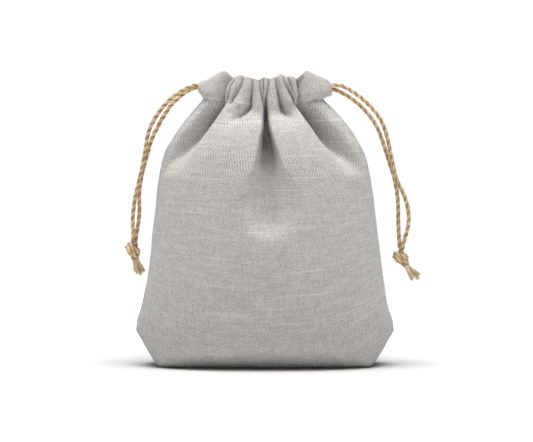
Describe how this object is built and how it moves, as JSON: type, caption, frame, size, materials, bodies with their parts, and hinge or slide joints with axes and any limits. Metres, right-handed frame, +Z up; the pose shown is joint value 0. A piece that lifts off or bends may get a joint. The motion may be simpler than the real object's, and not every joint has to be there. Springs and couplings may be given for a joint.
{
  "type": "drawstring pouch",
  "caption": "Small upright drawstring pouch of plain-woven cloth, gathered shut at the neck by jute cords that leave the casing at both sides and end in frayed knots.",
  "frame": {"origin": "middle of the base, on the surface that the pouch stands on", "axes": "+Z up, -Y towards the front of the pouch, +X to the right as seen from the front"},
  "size_m": [0.1476, 0.0666, 0.1464],
  "materials": {
    "cloth": "matt plain weave with slubs, light warm grey",
    "jute": "matt two-ply jute twine, tan, slightly hairy"
  },
  "bodies": {
    "root": {"pouch_cloth": "cloth", "left_cord_front": "jute", "left_cord_back": "jute", "right_cord_front": "jute", "right_cord_back": "jute", "left_knot": "jute", "right_knot": "jute"}
  },
  "joints": []
}
